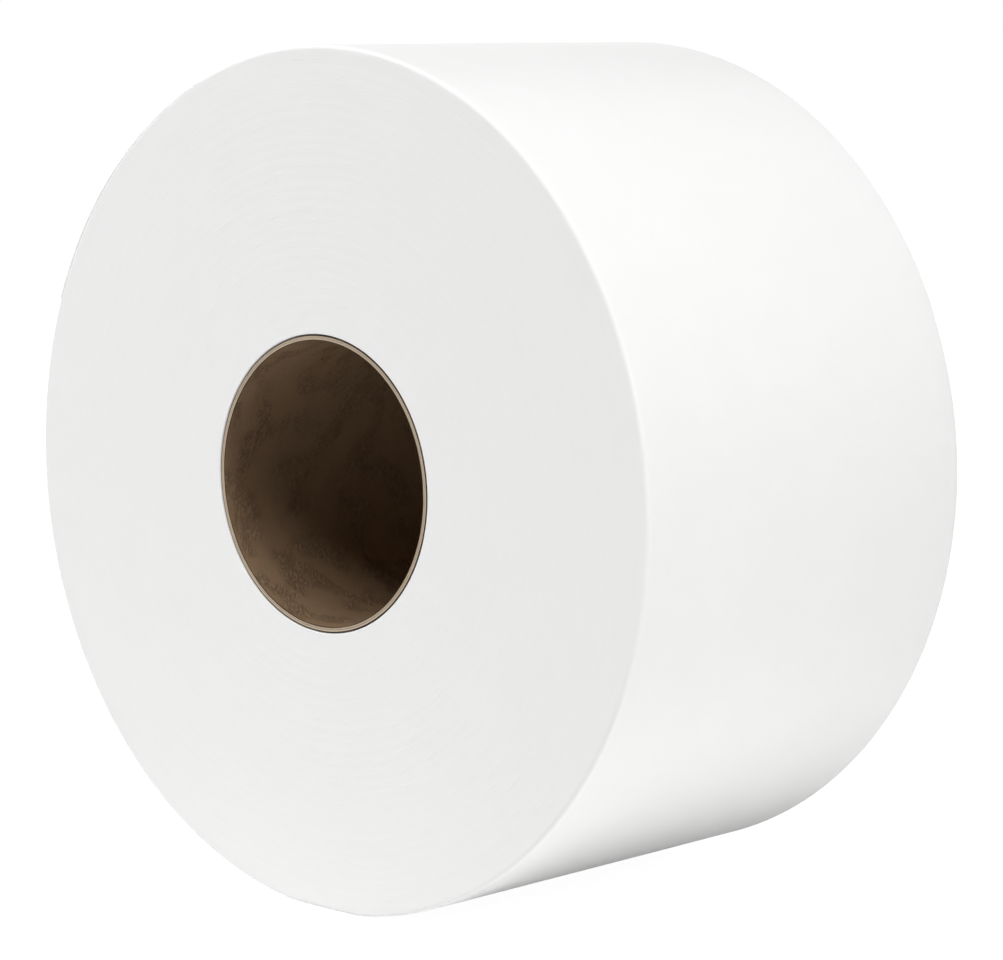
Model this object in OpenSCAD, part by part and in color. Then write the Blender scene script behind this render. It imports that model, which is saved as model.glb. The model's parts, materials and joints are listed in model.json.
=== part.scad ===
// Jumbo toilet paper roll, lying on its side: one long web of tissue wound on a cardboard core.
// The roll's axis runs along Y with its front end towards -Y, and it rests on the plane z = 0.

/* [Roll] */
// Outside diameter of the wound tissue
roll_d = 182; // [140:1:260]
// Width of the web, which is the length of the roll
roll_w = 99; // [80:1:130]
// Radius of the soft rounded rim at each end
rim_r = 0.8; // [0.6:0.1:3]
// Depth by which the soft underside flattens under the roll's own weight
flat_depth = 0.4; // [0.4:0.1:2]

/* [Turns] */
// Width of each band of turns that shows on the ends
band_w = 2.4; // [1.8:0.1:6]
// Width of the groove between two neighbouring bands
groove_w = 1; // [0.4:0.1:1.4]
// Depth of that groove, where the sheets' edges lie back from the end
groove_depth = 0.3; // [0.1:0.05:0.6]
// Height of the step where the last sheet ends
tail_step = 0.4; // [0.2:0.1:0.8]
// Direction of that step from the axis, anticlockwise from +X as seen from the front
tail_angle = 158; // [110:1:200]

/* [Core] */
// Inside diameter of the core tube, which slips over a spindle
bore_d = 60; // [40:1:80]
// Thickness of the core's cardboard wall
core_wall = 1.15; // [0.8:0.05:3]

/* [Hidden] */
$fn = 180;

roll_r = roll_d / 2;
core_r = bore_d / 2 + core_wall;
axis_z = roll_r - flat_depth;

// The grooves stay one band clear of the core, and of the rounded rim
first_groove_r = core_r + band_w;
last_groove_r = roll_r - rim_r - band_w;
grooves = floor((last_groove_r - first_groove_r) / band_w);

// The sheets' inner radius before the core's seat is cut, and how far a cutter reaches past a face
rough_r = core_r / 2;
past = 1;

// Lays a shape that was drawn round the Z axis on its side, with its lower end to the back
module on_its_side(turn = 0) {
    translate([0, roll_w / 2, axis_z])
        rotate([90, 0, 0])
            rotate([0, 0, turn])
                children();
}

// A spiral of half circles. The first half of each turn is centred on the axis. The second half has
// its centre half a step aside and its radius half a step larger, so it starts where the first half
// ends and closes one whole step further out. The children are the two halves' profiles.
module spiral(step) {
    rotate_extrude(angle = 180)
        children(0);
    translate([step / 2, 0, 0])
        rotate([0, 0, 180])
            rotate_extrude(angle = 180)
                children(1);
}

// Half of the roll's section, with rounded outer corners
module outline_profile(outer_r) {
    translate([rough_r, 0])
        square([outer_r - rim_r - rough_r, roll_w]);
    translate([rough_r, rim_r])
        square([outer_r - rough_r, roll_w - 2 * rim_r]);
    for (z = [rim_r, roll_w - rim_r])
        translate([outer_r - rim_r, z])
            circle(rim_r);
}

// The outside of the winding: each half turn meets the next, apart from the step at the last sheet
module outline() {
    spiral(tail_step) {
        outline_profile(roll_r);
        outline_profile(roll_r + tail_step / 2);
    }
}

// One end's edge from the inside out: flat bands with a groove between each two
function grooved_edge(z, depth, shift) = [
    for (i = [0 : grooves - 1])
        let (r = first_groove_r + shift + i * band_w)
            each [[r - groove_w / 2, z], [r, z + depth], [r + groove_w / 2, z]]
];

function reversed(list) = [for (i = [len(list) - 1 : -1 : 0]) list[i]];

// Half of the roll's section with the grooves in both ends, larger than the outline all round
module turns_profile(shift) {
    outer_r = roll_r + band_w;
    polygon(concat(
        [[rough_r, 0]],
        grooved_edge(0, groove_depth, shift),
        [[outer_r, 0], [outer_r, roll_w]],
        reversed(grooved_edge(roll_w, -groove_depth, shift)),
        [[rough_r, roll_w]]
    ));
}

// The wound bands, whose grooves run from the core to the rim as one spiral
module turns() {
    spiral(band_w) {
        turns_profile(0);
        turns_profile(band_w / 2);
    }
}

// All the tissue, as one solid on its seat round the core, with the flat that it rests on
module paper_roll() {
    color("whitesmoke")
        difference() {
            on_its_side(tail_angle)
                intersection() {
                    outline();
                    turns();
                }
            on_its_side()
                translate([0, 0, -past])
                    cylinder(r = core_r, h = roll_w + 2 * past);
            translate([-roll_r, -roll_w, -roll_r])
                cube([roll_d, 2 * roll_w, roll_r]);
        }
}

// The tube that the web is wound on, cut off with it and so as long as the roll
module core_tube() {
    color("tan")
        on_its_side()
            difference() {
                cylinder(r = core_r, h = roll_w);
                translate([0, 0, -past])
                    cylinder(d = bore_d, h = roll_w + 2 * past);
            }
}

paper_roll();
core_tube();
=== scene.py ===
"""The looks of a jumbo toilet paper roll: tissue wound on a two-ply cardboard core, lying on its side."""

import json
import math

import bpy
import numpy as np
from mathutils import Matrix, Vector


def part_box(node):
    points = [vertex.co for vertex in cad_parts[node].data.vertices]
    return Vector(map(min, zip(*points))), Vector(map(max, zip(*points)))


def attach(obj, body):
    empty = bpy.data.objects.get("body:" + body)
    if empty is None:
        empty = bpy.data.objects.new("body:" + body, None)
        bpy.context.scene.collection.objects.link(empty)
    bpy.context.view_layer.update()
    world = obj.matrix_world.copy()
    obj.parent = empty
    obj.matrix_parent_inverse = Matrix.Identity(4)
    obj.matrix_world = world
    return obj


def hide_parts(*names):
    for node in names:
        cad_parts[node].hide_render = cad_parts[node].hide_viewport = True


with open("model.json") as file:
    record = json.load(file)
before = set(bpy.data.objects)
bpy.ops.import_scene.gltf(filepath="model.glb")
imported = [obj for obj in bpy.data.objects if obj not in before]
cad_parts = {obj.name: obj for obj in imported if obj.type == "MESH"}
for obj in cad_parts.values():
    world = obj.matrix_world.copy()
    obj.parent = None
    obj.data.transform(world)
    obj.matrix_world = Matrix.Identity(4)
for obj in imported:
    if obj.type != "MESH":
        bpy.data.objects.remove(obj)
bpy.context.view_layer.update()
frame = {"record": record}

bl_info = {
    "name": "Jumbo tissue roll",
    "version": (1, 0, 0),
    "blender": (4, 5, 0),
    "location": "3D Viewport > Sidebar > Tissue Roll",
    "description": "Builds a wound tissue roll, its cardboard core and a plain studio round it",
    "category": "Add Mesh",
}

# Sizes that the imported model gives
BORE = next(m for m in frame["record"]["mounts"] if m["name"] == "core_bore")
AXIS_Z = BORE["pos_m"][2]
BORE_RADIUS = BORE["dims"]["r_mm"] / 1000
ROLL_LOW, ROLL_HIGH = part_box("paper_roll")
ROLL_RADIUS = -ROLL_LOW[0]
HALF_WIDTH = ROLL_HIGH[1]
CORE_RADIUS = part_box("core_tube")[1][0]
MM = 0.001
TURN = 2 * math.pi

# The mean of the liner's creases over a patch of them
CREASE_MEAN = 0.34


class RollSizes(bpy.types.PropertyGroup):
    """Sizes of the wound tissue."""

    rim_radius: bpy.props.FloatProperty(
        name="Rim radius", description="Rounding of the outer rims, where the web's edges are soft",
        default=0.9 * MM, min=0.2 * MM, unit="LENGTH")
    band_pitch: bpy.props.FloatProperty(
        name="Band pitch", description="Distance between the bands of turns that show on the ends",
        default=2.4 * MM, min=1.0 * MM, unit="LENGTH")
    band_relief: bpy.props.FloatProperty(
        name="Band relief", description="How far one band of turns stands out of the next",
        default=0.015 * MM, min=0.0, unit="LENGTH")
    groove_relief: bpy.props.FloatProperty(
        name="Groove relief", description="Depth of the fine groove between two bands",
        default=0.014 * MM, min=0.0, unit="LENGTH")
    lip_depth: bpy.props.FloatProperty(
        name="Lip depth", description="How far the first turns lie back from the ends at the core",
        default=0.2 * MM, min=0.0, unit="LENGTH")
    lip_gap: bpy.props.FloatProperty(
        name="Lip gap", description="How far the first turns stand off the core at the ends",
        default=0.2 * MM, min=0.0, unit="LENGTH")
    lip_width: bpy.props.FloatProperty(
        name="Lip width", description="Width of the rounded edge of those first turns",
        default=0.2 * MM, min=0.1 * MM, unit="LENGTH")
    unevenness: bpy.props.FloatProperty(
        name="Unevenness", description="How far the soft curved side wanders from a true cylinder",
        default=0.12 * MM, min=0.0, unit="LENGTH")
    sheet_thickness: bpy.props.FloatProperty(
        name="Sheet thickness", description="Thickness of the two-ply sheet at its loose end",
        default=0.25 * MM, min=0.1 * MM, unit="LENGTH")
    tail_angle: bpy.props.FloatProperty(
        name="Tail angle", description="Where the last sheet ends, anticlockwise from +X seen from the front",
        default=math.radians(158), subtype="ANGLE")
    tail_lift: bpy.props.FloatProperty(
        name="Tail lift", description="How far the loose edge of the last sheet stands off the roll",
        default=0.9 * MM, min=0.0, unit="LENGTH")


class CoreSizes(bpy.types.PropertyGroup):
    """Sizes of the cardboard core."""

    recess: bpy.props.FloatProperty(
        name="Recess", description="How far the core's rim lies inside the tissue's ends",
        default=0.15 * MM, min=0.0, unit="LENGTH")
    ply_gap: bpy.props.FloatProperty(
        name="Ply gap", description="Width of the line between the two plies on the rim",
        default=0.12 * MM, min=0.0, unit="LENGTH")
    # The band this thickness sets at each edge of the rim is the liner ply's edge, painted far darker than
    # the liner as painted shade along the rim's edges
    edge_ply: bpy.props.FloatProperty(
        name="Edge ply", description="Thickness of the dark brown ply on each wall, seen at the rim",
        default=0.2 * MM, min=0.1 * MM, unit="LENGTH")
    seam_pitch: bpy.props.FloatProperty(
        name="Seam pitch", description="Advance along the core of one turn of the inner ply's seam",
        default=75 * MM, unit="LENGTH")
    seam_angle: bpy.props.FloatProperty(
        name="Seam angle", description="Where the inner ply's seam crosses the middle of the core",
        default=math.radians(20), subtype="ANGLE")


class Finishes(bpy.types.PropertyGroup):
    """Colours of the tissue and the cardboard."""

    tissue: bpy.props.FloatVectorProperty(
        name="Tissue", description="White of the tissue", subtype="COLOR", size=3,
        default=(0.9, 0.9, 0.895), min=0, max=1)
    liner: bpy.props.FloatVectorProperty(
        name="Liner", description="Brown of the core's inside", subtype="COLOR", size=3,
        default=(0.228, 0.152, 0.091), min=0, max=1)
    cut_board: bpy.props.FloatVectorProperty(
        name="Cut board", description="Tan of the core's cut rim", subtype="COLOR", size=3,
        default=(0.6, 0.5, 0.39), min=0, max=1)


class StudioSettings(bpy.types.PropertyGroup):
    """Light and camera."""

    world_light: bpy.props.FloatProperty(
        name="World light", description="Strength of the even light from all round", default=0.06)
    front_power: bpy.props.FloatProperty(
        name="Front lamp", description="Power of the lamp high in front", default=11.1, unit="POWER")
    left_power: bpy.props.FloatProperty(
        name="Left lamp", description="Power of the low lamp in front on the left", default=6.2, unit="POWER")
    right_power: bpy.props.FloatProperty(
        name="Right lamp", description="Power of the smaller lamp high on the right",
        default=5.2, unit="POWER")
    low_power: bpy.props.FloatProperty(
        name="Low lamp", description="Power of the small lamp near the floor on the right",
        default=0.5, unit="POWER")
    back_power: bpy.props.FloatProperty(
        name="Back lamp", description="Power of the low lamp behind on the left", default=11.5, unit="POWER")
    focal_length: bpy.props.FloatProperty(
        name="Focal length", description="Focal length of the camera on a 36 mm wide sensor",
        default=125.81, unit="CAMERA")


def periodic_wander(angle, seed, waves):
    """A smooth wander round a circle, within about -1 to 1: the weighted mean of cosines of the angle,
    one for each whole number of periods in waves, with seeded phases. It meets itself after a turn."""
    rng = np.random.default_rng(seed)
    total = np.zeros_like(angle)
    weights = rng.uniform(0.4, 1.0, len(waves))
    for periods, weight in zip(waves, weights):
        total += weight * np.cos(periods * angle + rng.uniform(0, TURN))
    return total / weights.sum()


def wander(distance, seed, period, octaves=3):
    """A smooth wander along a line, within about -1 to 1: a sum of sines whose wavelengths start at
    period and shrink by uneven steps, with seeded phases."""
    rng = np.random.default_rng(seed)
    total = np.zeros_like(distance)
    for i in range(octaves):
        wavelength = period / 1.83**i
        total += np.sin(TURN * distance / wavelength + rng.uniform(0, TURN)) / 1.4**i
    return total / sum(1 / 1.4**i for i in range(octaves))


def smoothstep(x):
    """0 below 0, 1 above 1, and 3 x^2 - 2 x^3 between."""
    x = np.clip(x, 0, 1)
    return x * x * (3 - 2 * x)


def around_axis(radius, angle, along):
    """Points at a radius and an angle round the roll's axis (anticlockwise from +X, seen from the
    front) and a place along it: x = r cos a, y = along, z = the axis's height + r sin a."""
    return np.stack(np.broadcast_arrays(
        radius * np.cos(angle), along, AXIS_Z + radius * np.sin(angle)), axis=-1)


def grid_object(name, points, uv, close_first=False, close_second=False, material_of_column=None):
    """An object whose faces are the cells of a grid of points, with one vertex for each.

    points has the shape (m, n, 3). A closed direction joins its last row of points to its first. uv
    has one more row in each closed direction, so that the pattern doesn't run back at the join.
    material_of_column numbers the material of the faces that start at each column.
    """
    m, n = points.shape[:2]
    rows = np.arange(m if close_first else m - 1)
    columns = np.arange(n if close_second else n - 1)
    i, j = np.meshgrid(rows, columns, indexing="ij")
    corners = [(i, j), (i, j + 1), (i + 1, j + 1), (i + 1, j)]
    faces = np.stack([(a % m) * n + (b % n) for a, b in corners], axis=-1).reshape(-1, 4)
    mesh = bpy.data.meshes.new(name)
    mesh.vertices.add(m * n)
    mesh.vertices.foreach_set("co", points.reshape(-1).astype(np.float32))
    mesh.loops.add(faces.size)
    mesh.loops.foreach_set("vertex_index", faces.reshape(-1).astype(np.int32))
    mesh.polygons.add(len(faces))
    mesh.polygons.foreach_set("loop_start", np.arange(0, faces.size, 4, dtype=np.int32))
    mesh.update(calc_edges=True)
    mesh.shade_smooth()
    corner_uv = np.stack([uv[a, b] for a, b in corners], axis=2)
    layer = mesh.uv_layers.new(name="UVMap")
    layer.uv.foreach_set("vector", corner_uv.reshape(-1).astype(np.float32))
    if material_of_column is not None:
        numbers = np.broadcast_to(np.asarray(material_of_column, np.int32)[columns], i.shape)
        mesh.polygons.foreach_set("material_index", numbers.reshape(-1).astype(np.int32))
    piece = bpy.data.objects.new(name, mesh)
    bpy.context.scene.collection.objects.link(piece)
    return piece


def soft_minimum(a, b, softness):
    """The smaller of two arrays, rounded over where they cross: m - s ln(1 + e^(-|a - b| / s))."""
    return np.minimum(a, b) - softness * np.log1p(np.exp(-np.abs(a - b) / softness))


def side_radius(angle, along, unevenness):
    """The radius of the curved side: the full radius plus a slow wander over angle and width, cut
    short by the floor, whose distance from the axis is the axis's height / cos of the angle from
    straight down. The wander fades out over the flat that the roll rests on."""
    flat_ends, fade_over = math.radians(12), math.radians(20)
    from_below = np.abs((angle + math.pi / 2 + math.pi) % TURN - math.pi)
    fade = smoothstep((from_below - flat_ends) / fade_over)
    round_wander = periodic_wander(angle, 3, (2, 3, 5, 8, 13))
    slant_wander = periodic_wander(angle, 8, (1, 4, 7)) * np.cos(math.pi * along / HALF_WIDTH)
    full = ROLL_RADIUS + unevenness * fade * (0.6 * round_wander + 0.4 * slant_wander - 0.3)
    to_floor = AXIS_Z / np.maximum(np.cos(from_below), 0.5)
    return soft_minimum(full, to_floor, 0.12 * MM)


def end_relief(share, angle, sizes, seed):
    """How far the sheets' edges lie back from the end, for a share of the way from the core to the
    rim and an angle from the tail. The bands run as a spiral: band number = share * bands - angle /
    a turn. Each place of the wound web has its own depth, and a narrow groove parts it from the
    next turn. The relief fades out at the rim, and a small rounded lip falls away at the core."""
    bands = (ROLL_RADIUS - CORE_RADIUS) / sizes.band_pitch
    turned = angle / TURN
    wound = share * bands - turned
    turn = np.floor(wound)
    inside_turn = wound - turn
    along_web = turn + turned
    step = smoothstep((inside_turn - 0.6) / 0.4)
    depth = (1 - step) * wander(along_web, seed, 3.7) + step * wander(along_web + 1, seed, 3.7)
    groove = (0.5 + 0.5 * np.cos(TURN * (inside_turn - 0.8))) ** 2
    relief = sizes.band_relief * (1 + depth) + sizes.groove_relief * groove
    at_rim, at_core = 1 / 18, 1 / 30
    fade = smoothstep((1 - share) / at_rim) * smoothstep(share / at_core)
    from_core = share * (ROLL_RADIUS - CORE_RADIUS)
    lip = sizes.lip_depth * (1 - smoothstep(from_core / sizes.lip_width))
    return relief * fade + lip


def winding_points(sizes):
    """The whole winding as one closed surface, on a grid of angle round the axis by place along the
    section. The section runs out over the front end, round its rim, along the curved side, back in
    over the back end, and home along the seat on the core."""
    columns = 288
    angle = np.linspace(0, TURN, columns, endpoint=False)[:, None]
    turned = angle + sizes.tail_angle
    rim = sizes.rim_radius
    lip_end = 1.2 * sizes.lip_width / (ROLL_RADIUS - CORE_RADIUS)
    shares = np.concatenate([np.linspace(0, lip_end, 7)[:-1], np.linspace(lip_end, 1, 140)])[None, :]
    bend = np.linspace(0, math.pi / 2, 8)[None, 1:-1]
    reach = HALF_WIDTH - rim
    along = np.linspace(-reach, reach, 25)[None, :]
    seat = np.array([0.995, 0.98, 0.955, 0.3, -0.3, -0.955, -0.98, -0.995])[None, :]

    def end(side, seed):
        outer = side_radius(turned, side * reach, sizes.unevenness) - rim
        inner = CORE_RADIUS + sizes.lip_gap
        radius = inner + shares * (outer - inner)
        return radius, side * (HALF_WIDTH - end_relief(shares, angle, sizes, seed))

    def corner(side):
        outer = side_radius(turned, side * reach, sizes.unevenness) - rim
        return outer + rim * np.sin(bend), side * (reach + rim * np.cos(bend)) + 0 * angle

    front, back = end(-1, 21), end(1, 34)
    front_rim, back_rim = corner(-1), corner(1)
    side = side_radius(turned, along, sizes.unevenness), along + 0 * angle
    mouth = sizes.lip_gap * smoothstep((np.abs(seat) - 0.93) / 0.03)
    home = CORE_RADIUS + mouth + 0 * angle, (HALF_WIDTH - sizes.lip_depth) * seat + 0 * angle
    radius = np.concatenate([front[0], front_rim[0], side[0],
                             back_rim[0][:, ::-1], back[0][:, ::-1], home[0]], axis=1)
    y = np.concatenate([front[1], front_rim[1], side[1],
                        back_rim[1][:, ::-1], back[1][:, ::-1], home[1]], axis=1)
    ends = np.zeros(radius.shape[1], bool)
    ends[:shares.size] = True
    ends[-shares.size - seat.size:] = True
    return around_axis(radius, turned, y), ends


def metres_uv(points, closed_first, closed_second):
    """A map in metres: the first coordinate is the length along the middle line of the first
    direction, and the second is the length along the section, in radius and y."""
    def lengths(line, closed):
        if closed:
            line = np.concatenate([line, line[:1]])
        steps = np.linalg.norm(np.diff(line, axis=0), axis=1)
        return np.concatenate([[0], np.cumsum(steps)])
    x, y, z = np.moveaxis(points[0], -1, 0)
    section = np.stack([np.hypot(x, z - AXIS_Z), y], axis=-1)
    across = lengths(points[:, points.shape[1] // 2], closed_first)
    down = lengths(section, closed_second)
    return np.stack(np.meshgrid(across, down, indexing="ij"), axis=-1)


def last_sheet_points(sizes):
    """The middle surface of the last stretch of the web, on a grid of length along it by place across.
    Its radius is the side's radius, less half the sheet where it comes out of the turns, plus half
    the sheet where it lies on them, plus a lift that grows with the square of the distance past the
    place where the loose edge leaves the roll."""
    stretch, loose, tucked_in = 70 * MM, 11 * MM, 0.03 * MM
    back = np.concatenate([np.linspace(stretch, loose, 50)[:-1], np.linspace(loose, 0, 30)])[:, None]
    reach = HALF_WIDTH - 0.15 * MM
    rim = sizes.rim_radius
    shoulder = np.array([0, 0.2, 0.45, 0.7, 1]) * rim
    across = np.concatenate([-reach + shoulder, np.linspace(-reach, reach, 72)[2:-2],
                             (reach - shoulder)[::-1]])[None, :]
    edge = 0.5 * MM * wander(across, 5, 71 * MM) * smoothstep(1 - back / loose)
    angle = sizes.tail_angle - (back + edge) / ROLL_RADIUS
    half = sizes.sheet_thickness / 2
    risen = smoothstep((stretch - back) / (stretch - 20 * MM))
    over_rim = np.clip(np.abs(across) - (HALF_WIDTH - rim), 0, 0.95 * rim)
    rounding = rim - np.sqrt(rim**2 - over_rim**2)
    past = np.clip(1 - back / loose, 0, 1) ** 2
    free = smoothstep((1 - np.abs(across) / HALF_WIDTH) * 3)
    lift = sizes.tail_lift * past * free * (0.62 + 0.38 * wander(across + 0.3 * back, 12, 83 * MM))
    radius = side_radius(angle, across, sizes.unevenness) - rounding + lift
    radius = radius - half - tucked_in + risen * (2 * half + 0.05 * MM)
    length = back + 0 * across
    uv = np.stack([TURN * ROLL_RADIUS - length, across + 0 * back], axis=-1)
    return around_axis(radius, angle, across), uv


def core_points(sizes):
    """The core as one closed surface, on a grid of length round it by place along the section. The
    section runs out over the front rim, back along the outside, in over the back rim and home along
    the inside. Every line along the tube is a helix, angle = u + a turn * y / seam pitch, so that the
    inner ply's seam is the first of them; beside it the inside has a narrow slit and a raised edge.
    Returned with it is the number of each column's material: 0 on both walls, 1 on the cut board and
    2 on the thin bands of the plies that edge it, painted far darker than the liner as painted shade along
    the rim's edges."""
    wall = CORE_RADIUS - BORE_RADIUS
    around = TURN * BORE_RADIUS
    near = np.array([0, 0.1, 0.18, 0.3, 0.55, 0.95]) * MM
    spread = np.linspace(1.6 * MM, around - 1.6 * MM, 232)
    u = np.concatenate([near, spread, around - near[:0:-1]])[:, None]
    half_length = HALF_WIDTH - sizes.recess
    soft = 0.1 * MM
    middle = wall / 2
    gap, ply = sizes.ply_gap, sizes.edge_ply
    from_bore = np.array([0, 0.3 * soft, soft, ply, middle - gap, middle - 0.4 * gap, middle + 0.4 * gap,
                          middle + gap, wall - ply, wall - soft, wall - 0.3 * soft, wall])
    sunk = np.array([soft, 0.3 * soft, 0, 0, 0, 1.2 * gap, 1.2 * gap, 0, 0, 0, 0.3 * soft, soft])
    # Material 2 is the edge band of each ply, painted far darker than the liner as painted shade
    rim_materials = [2, 2, 2, 1, 1, 1, 1, 1, 2, 2, 2, 0]
    straight = half_length - soft
    outside = np.linspace(-straight, straight, 72)[1:-1]
    inside = np.linspace(straight, -straight, 132)[1:-1]
    outer = CORE_RADIUS - 0.03 * MM
    rim_r = np.minimum(BORE_RADIUS + from_bore, outer)
    radius = np.concatenate([rim_r, outer + 0 * outside, rim_r[::-1], BORE_RADIUS + 0 * inside])[None, :]
    y = np.concatenate([-half_length + sunk, outside, (half_length - sunk)[::-1], inside])[None, :]
    part = np.concatenate([0 * rim_r, 1 + 0 * outside, 0 * rim_r, 2 + 0 * inside])
    angle = u / BORE_RADIUS + TURN * y / sizes.seam_pitch + sizes.seam_angle
    from_seam = np.minimum(u, around - u)
    slit_depth, slit_half, slit_slope = 0.16 * MM, 0.08 * MM, 0.12 * MM
    slit = slit_depth * (1 - smoothstep((from_seam - slit_half) / slit_slope))
    raised = 0.05 * MM * np.exp(-u / (1.5 * MM))
    bumps = 0.02 * MM * (wander(u, 3, 47 * MM) + wander(y, 4, 61 * MM))
    radius = radius + np.where(part == 2, slit - raised + bumps, 0)
    ragged = 0.04 * MM * periodic_wander(u / BORE_RADIUS, 6, (2, 5, 9, 17, 31))
    y = y + np.where(part == 0, np.sign(y) * ragged, 0)
    materials = np.concatenate([rim_materials, 0 * outside, rim_materials, 0 * inside])
    return around_axis(radius, angle, y + 0 * u), materials


def add_node(tree, kind, inputs=None, **settings):
    """One node of a material: settings are its options, and inputs its sockets' values or links."""
    made = tree.nodes.new(kind)
    for name, value in settings.items():
        setattr(made, name, value)
    for name, value in (inputs or {}).items():
        if isinstance(value, bpy.types.NodeSocket):
            tree.links.new(value, made.inputs[name])
        else:
            made.inputs[name].default_value = value
    return made


def paper_material(name, roughness, sheen, gloss=0.15):
    """A matt material of fibres: its shader, with little gloss and a soft sheen."""
    material = bpy.data.materials.new(name)
    material.use_nodes = True
    tree = material.node_tree
    shader = tree.nodes["Principled BSDF"]
    shader.inputs["Roughness"].default_value = roughness
    shader.inputs["Specular IOR Level"].default_value = gloss
    shader.inputs["Sheen Weight"].default_value = sheen
    shader.inputs["Sheen Roughness"].default_value = 0.6
    return material, tree, shader


def scaled_noise(tree, vector, scale, detail=2.0, roughness=0.5, distortion=0.0):
    """Noise whose grain is stretched: vector times scale, one number for each direction."""
    stretched = add_node(tree, "ShaderNodeMapping", {"Vector": vector, "Scale": scale})
    return add_node(tree, "ShaderNodeTexNoise", {
        "Vector": stretched.outputs["Vector"], "Scale": 1.0, "Detail": detail,
        "Roughness": roughness, "Distortion": distortion}).outputs["Fac"]


def math_node(tree, operation, a, b):
    """One sum of two numbers or sockets."""
    made = add_node(tree, "ShaderNodeMath", operation=operation)
    for socket, value in zip(made.inputs, (a, b)):
        if isinstance(value, bpy.types.NodeSocket):
            tree.links.new(value, socket)
        else:
            socket.default_value = value
    return made.outputs[0]


def vector_node(tree, operation, a, b=(0, 0, 0)):
    """One sum of two vectors or sockets, as the node's outputs."""
    return add_node(tree, "ShaderNodeVectorMath", {0: a, 1: b}, operation=operation).outputs


def tinted(tree, shader, colour, darker, amount):
    """Base colour between colour and darker times it, by an amount from 0 to 1."""
    mixed = add_node(tree, "ShaderNodeMix", data_type="RGBA")
    tree.links.new(amount, mixed.inputs["Factor"])
    mixed.inputs["A"].default_value = (*colour, 1)
    mixed.inputs["B"].default_value = (*[c * d for c, d in zip(colour, darker)], 1)
    tree.links.new(mixed.outputs["Result"], shader.inputs["Base Color"])


def bumped(tree, shader, layers):
    """Bumps on the shader from layers of (height, strength, distance), each on top of the last."""
    normal = None
    for height, strength, distance in layers:
        inputs = {"Height": height, "Strength": strength, "Distance": distance}
        if normal is not None:
            inputs["Normal"] = normal
        normal = add_node(tree, "ShaderNodeBump", inputs).outputs["Normal"]
    tree.links.new(normal, shader.inputs["Normal"])


def side_material(finish):
    """Creped tissue as on the curved side: fine ridges across the web, which run along the roll's
    axis, under a grain of fibres."""
    material, tree, shader = paper_material("tissue_side", 0.95, 0.25)
    uv = add_node(tree, "ShaderNodeUVMap", uv_map="UVMap").outputs["UV"]
    crepe = scaled_noise(tree, uv, (1900, 210, 1), detail=2.5)
    fibres = scaled_noise(tree, uv, (5200, 3600, 1), detail=2)
    clouds = scaled_noise(tree, uv, (70, 55, 1), detail=4, roughness=0.6)
    tinted(tree, shader, finish.tissue, (0.965, 0.965, 0.962), clouds)
    bumped(tree, shader, [(crepe, 0.35, 0.05 * MM), (fibres, 0.2, 0.03 * MM)])
    return material


def end_material(finish):
    """The web's edges as on the ends: turns that show as fine arcs round the axis, and here and there
    the short edge of one sheet. The pattern's place is (direction from the axis * a few grains,
    distance from the axis * many grains)."""
    material, tree, shader = paper_material("tissue_ends", 0.97, 0.25)
    place = add_node(tree, "ShaderNodeTexCoord").outputs["Object"]
    centred = vector_node(tree, "SUBTRACT", place, (0, 0, AXIS_Z))[0]
    flat = vector_node(tree, "MULTIPLY", centred, (1, 0, 1))[0]
    distance = vector_node(tree, "LENGTH", flat)["Value"]
    direction = vector_node(tree, "NORMALIZE", flat)[0]
    depth = vector_node(tree, "MULTIPLY", place, (0, 1, 0))[0]

    def arcs(grains, per_metre, detail):
        turned = vector_node(tree, "MULTIPLY", direction, (grains,) * 3)[0]
        scaled = math_node(tree, "MULTIPLY", distance, per_metre)
        outwards = add_node(tree, "ShaderNodeCombineXYZ", {"Y": scaled}).outputs[0]
        joined = vector_node(tree, "ADD", turned, outwards)[0]
        ended = vector_node(tree, "ADD", joined, depth)[0]
        return scaled_noise(tree, ended, (1, 1, 1), detail)

    bundles = arcs(3.0, 700, 2.0)
    sheets = arcs(9.0, 3300, 1.0)
    edges = math_node(tree, "MAXIMUM", math_node(tree, "SUBTRACT", arcs(18.0, 1300, 0.5), 0.66), 0.0)
    fibres = scaled_noise(tree, place, (3000, 3000, 3000), detail=2)
    clouds = scaled_noise(tree, place, (60, 60, 60), detail=3)
    shade = math_node(tree, "MULTIPLY", math_node(tree, "ADD", clouds, sheets), 0.5)
    tinted(tree, shader, finish.tissue, (0.955, 0.955, 0.952), shade)
    bumped(tree, shader, [(bundles, 0.3, 0.05 * MM), (edges, 1.0, 0.16 * MM), (sheets, 0.3, 0.04 * MM),
                          (fibres, 0.15, 0.03 * MM)])
    return material


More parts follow.
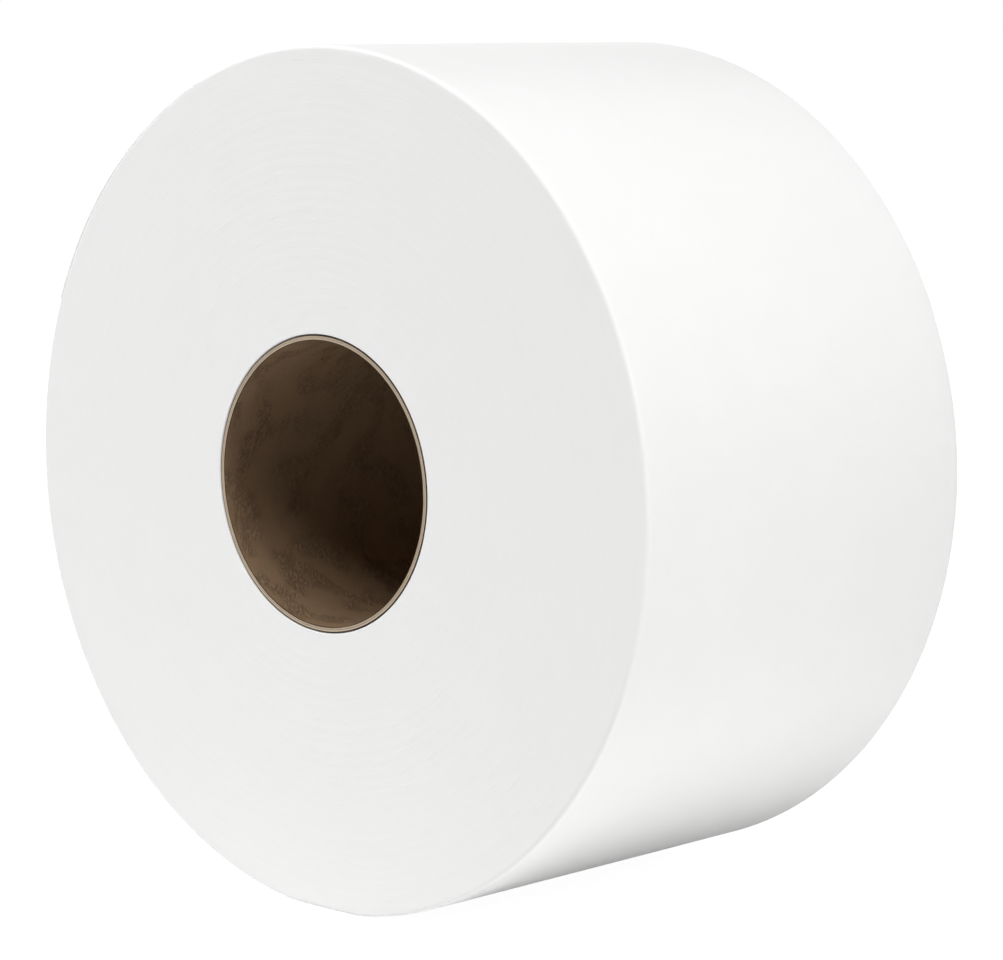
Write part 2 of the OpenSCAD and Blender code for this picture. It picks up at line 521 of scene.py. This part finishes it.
def liner_material(finish):
    """The brown inner ply: soft blotches, a rough grain of short fibres, and patches where the ply is
    puckered into small leathery creases. A crease is a thin dent, 1 - sharpness * |noise - 0.5|,
    where a fine noise crosses its middle; it is bumped in, and painted darker into the base colour as painted
    shade.
    The creases' mean is taken off, so that the paper between them is painted a little lighter, and a patch as
    a whole keeps its tone."""
    sharpness, patches_from, patch_contrast, plain_paper = 11.0, 0.45, 8.0, 0.1
    material, tree, shader = paper_material("core_liner", 0.85, 0.0, 0.05)
    uv = add_node(tree, "ShaderNodeUVMap", uv_map="UVMap").outputs["UV"]
    blotches = scaled_noise(tree, uv, (55, 70, 1), detail=3, roughness=0.5)
    askew = add_node(tree, "ShaderNodeVectorRotate", {"Vector": uv, "Angle": math.radians(-25)},
                     rotation_type="Z_AXIS").outputs["Vector"]
    grain = scaled_noise(tree, askew, (850, 1600, 1), detail=4, roughness=0.65, distortion=0.6)
    torn = scaled_noise(tree, askew, (520, 1500, 1), detail=2, roughness=0.5, distortion=0.9)
    off_middle = math_node(tree, "ABSOLUTE", math_node(tree, "SUBTRACT", torn, 0.5), 0.0)
    line = math_node(tree, "SUBTRACT", 1.0, math_node(tree, "MULTIPLY", off_middle, sharpness))
    sharp = math_node(tree, "MAXIMUM", line, 0.0)
    patches = scaled_noise(tree, uv, (110, 130, 1), detail=2)
    above = math_node(tree, "SUBTRACT", patches, patches_from)
    lifted = math_node(tree, "MULTIPLY", above, patch_contrast)
    patch = math_node(tree, "MINIMUM", math_node(tree, "MAXIMUM", lifted, plain_paper), 1.0)
    # Painted shade: the crease lines darken the base colour below, besides being bumped in as dents
    crease_dent_and_shade = math_node(tree, "MULTIPLY", math_node(tree, "SUBTRACT", sharp, CREASE_MEAN), patch)
    rough = math_node(tree, "ADD", math_node(tree, "MULTIPLY", grain, 0.5), crease_dent_and_shade)
    slow = math_node(tree, "MULTIPLY", blotches, 0.2)
    # Colour amount: the fibres' grain and the blotches, plus the painted shade of the creases
    darker = math_node(tree, "ADD", math_node(tree, "MULTIPLY", rough, 0.6), slow)
    tinted(tree, shader, finish.liner, (0.6, 0.56, 0.52), darker)
    dent = math_node(tree, "MULTIPLY", crease_dent_and_shade, -1.0)
    bumped(tree, shader, [(dent, 1.0, 0.2 * MM), (grain, 1.0, 0.16 * MM)])
    return material


def cut_board_material(name, colour):
    """The cut rim of the board: fibres of one colour with darker specks."""
    material, tree, shader = paper_material(name, 0.9, 0.0, 0.05)
    place = add_node(tree, "ShaderNodeTexCoord").outputs["Object"]
    specks = scaled_noise(tree, place, (2600, 2600, 2600), detail=3, roughness=0.7)
    slow = scaled_noise(tree, place, (180, 180, 180), detail=2)
    shade = math_node(tree, "MULTIPLY", math_node(tree, "ADD", specks, slow), 0.5)
    tinted(tree, shader, colour, (0.72, 0.7, 0.67), shade)
    bumped(tree, shader, [(specks, 0.4, 0.06 * MM)])
    return material


def white_to_camera(tree, shader, share, strength=1.0):
    """Mixes a white glow into a shader, for camera, glossy and transmission rays only."""
    rays = add_node(tree, "ShaderNodeLightPath")
    seen = math_node(tree, "MAXIMUM", rays.outputs["Is Camera Ray"], rays.outputs["Is Glossy Ray"])
    seen = math_node(tree, "MAXIMUM", seen, rays.outputs["Is Transmission Ray"])
    kind = "ShaderNodeBackground" if shader.node.type == "BACKGROUND" else "ShaderNodeEmission"
    glow = add_node(tree, kind, {"Color": (1, 1, 1, 1), "Strength": strength})
    amount = math_node(tree, "MULTIPLY", seen, share)
    return add_node(tree, "ShaderNodeMixShader", {
        0: amount, 1: shader, 2: glow.outputs[0]}).outputs[0]


def finish_piece(piece, materials, slot, *nodes):
    """Gives a piece its materials and its place in the model, and hides the imported nodes that it stands
    for.
    """
    for material in materials:
        piece.data.materials.append(material)
    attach(piece, "root")
    if nodes:
        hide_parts(*nodes)


class ROLL_OT_winding(bpy.types.Operator):
    """Build the wound tissue, with the spiral of turns on both ends"""

    bl_idname = "roll.winding"
    bl_label = "Wound tissue"

    def execute(self, context):
        points, ends = winding_points(context.scene.roll_sizes)
        piece = grid_object("tissue_winding", points, metres_uv(points, True, True), True, True,
                            material_of_column=ends)
        finish = context.scene.roll_finishes
        finish_piece(piece, [side_material(finish), end_material(finish)], "tissue", "paper_roll")
        return {"FINISHED"}


class ROLL_OT_last_sheet(bpy.types.Operator):
    """Build the loose end of the web, which lifts a little off the roll"""

    bl_idname = "roll.last_sheet"
    bl_label = "Last sheet"

    def execute(self, context):
        sizes = context.scene.roll_sizes
        points, uv = last_sheet_points(sizes)
        piece = grid_object("last_sheet", points, uv)
        thickness = piece.modifiers.new("thickness", "SOLIDIFY")
        thickness.thickness = sizes.sheet_thickness
        thickness.offset = 0
        finish_piece(piece, [bpy.data.materials["tissue_side"]], "tissue")
        return {"FINISHED"}


class ROLL_OT_core(bpy.types.Operator):
    """Build the two-ply cardboard core"""

    bl_idname = "roll.core"
    bl_label = "Cardboard core"

    def execute(self, context):
        sizes = context.scene.core_sizes
        points, materials = core_points(sizes)
        uv = metres_uv(points, True, True)
        # The grid's lines are helices, and this straightens the map, so that it jumps at the seam only
        uv[..., 0] += TURN * BORE_RADIUS / sizes.seam_pitch * np.append(points[0, :, 1], points[0, 0, 1])
        piece = grid_object("cardboard_core", points, uv, True, True, materials)
        finish = context.scene.roll_finishes
        # Painted shade: the edge plies on the rim get 0.35 times the liner's brown, far darker than the liner
        # itself, for the shade along the rim's edges
        edge_ply_painted_shade = [0.35 * c for c in finish.liner]
        finish_piece(piece, [
            liner_material(finish), cut_board_material("core_cut_board", finish.cut_board),
            cut_board_material("core_edge_ply_painted_shade", edge_ply_painted_shade)], "cardboard", "core_tube")
        return {"FINISHED"}


def area_lamp(name, size, power, place, target):
    """A square soft lamp at a place, turned towards a target."""
    light = bpy.data.lights.new(name, "AREA")
    light.size = size
    light.energy = power
    lamp = bpy.data.objects.new(name, light)
    lamp.location = place
    way = np.array(target) - np.array(place)
    lamp.rotation_euler = (math.acos(-way[2] / np.linalg.norm(way)), 0, math.atan2(-way[0], way[1]))
    bpy.context.scene.collection.objects.link(lamp)


class ROLL_OT_studio(bpy.types.Operator):
    """Set up the pale floor, the soft light and the camera"""

    bl_idname = "roll.studio"
    bl_label = "Studio"

    def execute(self, context):
        settings = context.scene.roll_studio
        self.floor()
        self.world(context.scene, settings)
        for name, size, power, place in (
                ("front_lamp", 0.6, settings.front_power, (0.15, -0.5, 1.3)),
                ("left_lamp", 0.6, settings.left_power, (-1.0, -0.8, 0.2)),
                ("right_lamp", 0.3, settings.right_power, (0.5, -0.1, 1.2)),
                ("low_lamp", 0.1, settings.low_power, (0.45, -0.05, 0.03)),
                ("back_lamp", 0.4, settings.back_power, (-0.6, 1.3, 0.25))):
            area_lamp(name, size, power, place, (0, 0, AXIS_Z))
        self.camera(context.scene, settings)
        context.scene.view_settings.view_transform = "Standard"
        return {"FINISHED"}

    def floor(self):
        """A white floor that looks almost white to the camera but keeps the roll's soft shadow. The
        share of white glow grows with the distance from the roll, so that the far floor is white."""
        reach = 30
        corners = [(x * reach, y * reach, 0) for x, y in ((-1, -1), (1, -1), (1, 1), (-1, 1))]
        mesh = bpy.data.meshes.new("floor")
        mesh.from_pydata(corners, [], [(0, 1, 2, 3)])
        floor = bpy.data.objects.new("floor", mesh)
        bpy.context.scene.collection.objects.link(floor)
        material = bpy.data.materials.new("floor_white")
        material.use_nodes = True
        tree = material.node_tree
        shader = tree.nodes["Principled BSDF"]
        shader.inputs["Base Color"].default_value = (0.95, 0.95, 0.95, 1)
        shader.inputs["Roughness"].default_value = 1.0
        shader.inputs["Specular IOR Level"].default_value = 0.0
        place = add_node(tree, "ShaderNodeTexCoord").outputs["Object"]
        distance = vector_node(tree, "LENGTH", place)["Value"]
        share = add_node(tree, "ShaderNodeMapRange", {
            "Value": distance, "From Min": 0.2, "From Max": 0.8,
            "To Min": 0.8, "To Max": 0.84}).outputs[0]
        seen = white_to_camera(tree, shader.outputs[0], share, 1.2)
        tree.links.new(seen, tree.nodes["Material Output"].inputs["Surface"])
        mesh.materials.append(material)

    def world(self, scene, settings):
        """Even light from all round, and white where the camera sees it."""
        world = bpy.data.worlds.new("studio")
        scene.world = world
        world.use_nodes = True
        tree = world.node_tree
        background = tree.nodes["Background"]
        background.inputs["Color"].default_value = (1, 1, 1, 1)
        background.inputs["Strength"].default_value = settings.world_light
        seen = white_to_camera(tree, background.outputs[0], 1.0)
        tree.links.new(seen, tree.nodes["World Output"].inputs["Surface"])

    def camera(self, scene, settings):
        """A long lens in front of the roll, to its right and a little above. Its place is in radii of
        the roll from the middle of the front end."""
        camera = bpy.data.cameras.new("camera")
        camera.sensor_fit = "HORIZONTAL"
        camera.sensor_width = 36
        camera.lens = settings.focal_length
        camera.clip_end = 200
        seen_from = bpy.data.objects.new("camera", camera)
        right, forward, up = 5.798, -5.459, 1.0635
        tilted_down, turned_left = math.radians(7.546), math.radians(43.741)
        seen_from.location = (right * ROLL_RADIUS, forward * ROLL_RADIUS - HALF_WIDTH,
                              AXIS_Z + up * ROLL_RADIUS)
        seen_from.rotation_euler = (math.radians(90) - tilted_down, 0, turned_left)
        scene.collection.objects.link(seen_from)
        scene.camera = seen_from


class ROLL_PT_panel(bpy.types.Panel):
    """Lists the steps that build the roll and its studio."""

    bl_label = "Tissue Roll"
    bl_idname = "ROLL_PT_panel"
    bl_space_type = "VIEW_3D"
    bl_region_type = "UI"
    bl_category = "Tissue Roll"

    def draw(self, context):
        for group in ("roll_sizes", "core_sizes", "roll_finishes", "roll_studio"):
            box = self.layout.box()
            settings = getattr(context.scene, group)
            for name in settings.__annotations__:
                box.prop(settings, name)
        for operator in BUILDERS:
            self.layout.operator(operator.bl_idname)


GROUPS = {"roll_sizes": RollSizes, "core_sizes": CoreSizes, "roll_finishes": Finishes,
          "roll_studio": StudioSettings}
BUILDERS = (ROLL_OT_winding, ROLL_OT_last_sheet, ROLL_OT_core, ROLL_OT_studio)


def register():
    for cls in (*GROUPS.values(), *BUILDERS, ROLL_PT_panel):
        bpy.utils.register_class(cls)
    for name, group in GROUPS.items():
        setattr(bpy.types.Scene, name, bpy.props.PointerProperty(type=group))


def unregister():
    for name in GROUPS:
        delattr(bpy.types.Scene, name)
    for cls in reversed((*GROUPS.values(), *BUILDERS, ROLL_PT_panel)):
        bpy.utils.unregister_class(cls)


def main():
    """Registers the classes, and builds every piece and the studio."""
    register()
    bpy.ops.roll.winding()
    bpy.ops.roll.last_sheet()
    bpy.ops.roll.core()
    bpy.ops.roll.studio()


if __name__ == "__main__":
    main()
